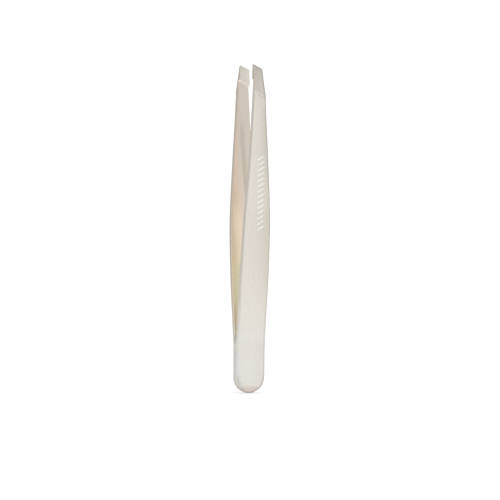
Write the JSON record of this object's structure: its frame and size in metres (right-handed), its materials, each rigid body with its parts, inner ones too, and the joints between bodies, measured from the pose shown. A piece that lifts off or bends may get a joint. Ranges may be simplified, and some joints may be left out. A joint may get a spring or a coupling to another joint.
{
  "type": "slant tweezers",
  "caption": "Slant-tip tweezers: mirrored spring-steel blades welded together at a rounded heel, bowed grip, ground gripping pads.",
  "frame": {"origin": "lowest point of the rounded heel, on the plane between the two blades", "axes": "+Z from the heel to the tips, X across the width of the blades with the tip's higher corner on -X, Y across the opening with the marked front blade on -Y"},
  "size_m": [0.0094, 0.0108, 0.095],
  "materials": {
    "blade_steel": "satin brushed stainless steel, pale and slightly warm",
    "weld_steel": "fused steel, dull"
  },
  "bodies": {
    "heel": {"front_heel": "blade_steel", "rear_heel": "blade_steel", "spot_weld_lower": "weld_steel", "spot_weld_upper": "weld_steel"},
    "front_arm": {"front_arm": "blade_steel"},
    "rear_arm": {"rear_arm": "blade_steel"}
  },
  "joints": [
    {"name": "front_flex", "type": "hinge", "parent": "heel", "child": "front_arm", "pos_m": [0, -0.00203, 0.027], "axis": [-1, 0, 0], "range_deg": [0, 2.8], "stiffness_Nm_per_rad": 1.8},
    {"name": "rear_flex", "type": "hinge", "parent": "heel", "child": "rear_arm", "pos_m": [0, 0.00203, 0.027], "axis": [1, 0, 0], "range_deg": [0, 2.8], "stiffness_Nm_per_rad": 1.8}
  ],
  "couplings": [
    {"joint": "rear_flex", "follows": "front_flex", "ratio": 1}
  ]
}
